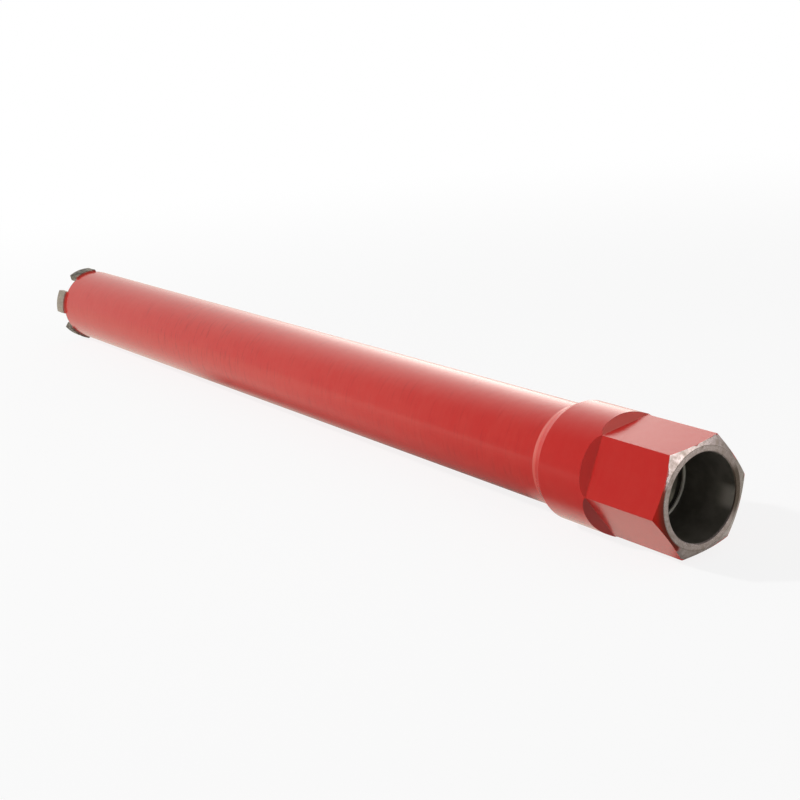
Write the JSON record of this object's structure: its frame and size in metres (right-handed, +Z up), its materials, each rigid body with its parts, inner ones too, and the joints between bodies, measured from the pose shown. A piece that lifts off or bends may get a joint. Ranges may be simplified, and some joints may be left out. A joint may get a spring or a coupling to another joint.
{
  "type": "diamond core bit",
  "caption": "Slim wet-drilling core bit: a long red steel barrel with a crown of brazed diamond segments and a threaded hub with spanner flats.",
  "frame": {"origin": "centre of the hub's mouth, on the axis of the bit, in the plane of the turned ring that meets the drill spindle's shoulder", "axes": "+X along the axis of the bit, out of the hub's mouth and towards the drill rig; the barrel and the crown lie towards -X; +Z is up as the bit lies, with the gap between two segments lowest at the crown"},
  "size_m": [0.5372, 0.048, 0.048],
  "materials": {
    "hub_enamel": "satin red enamel, bare steel round the mouth and in the bore",
    "barrel_enamel": "satin red enamel over turned steel",
    "weld_enamel": "satin red enamel",
    "braze": "satin, painted over silver braze",
    "diamond_segment": "rough sintered metal"
  },
  "bodies": {
    "root": {"hub": "hub_enamel", "barrel": "barrel_enamel", "hub_weld": "weld_enamel", "segment_1": "diamond_segment", "segment_braze_1": "braze", "segment_2": "diamond_segment", "segment_braze_2": "braze", "segment_3": "diamond_segment", "segment_braze_3": "braze", "segment_4": "diamond_segment", "segment_braze_4": "braze", "segment_5": "diamond_segment", "segment_braze_5": "braze"}
  },
  "joints": []
}
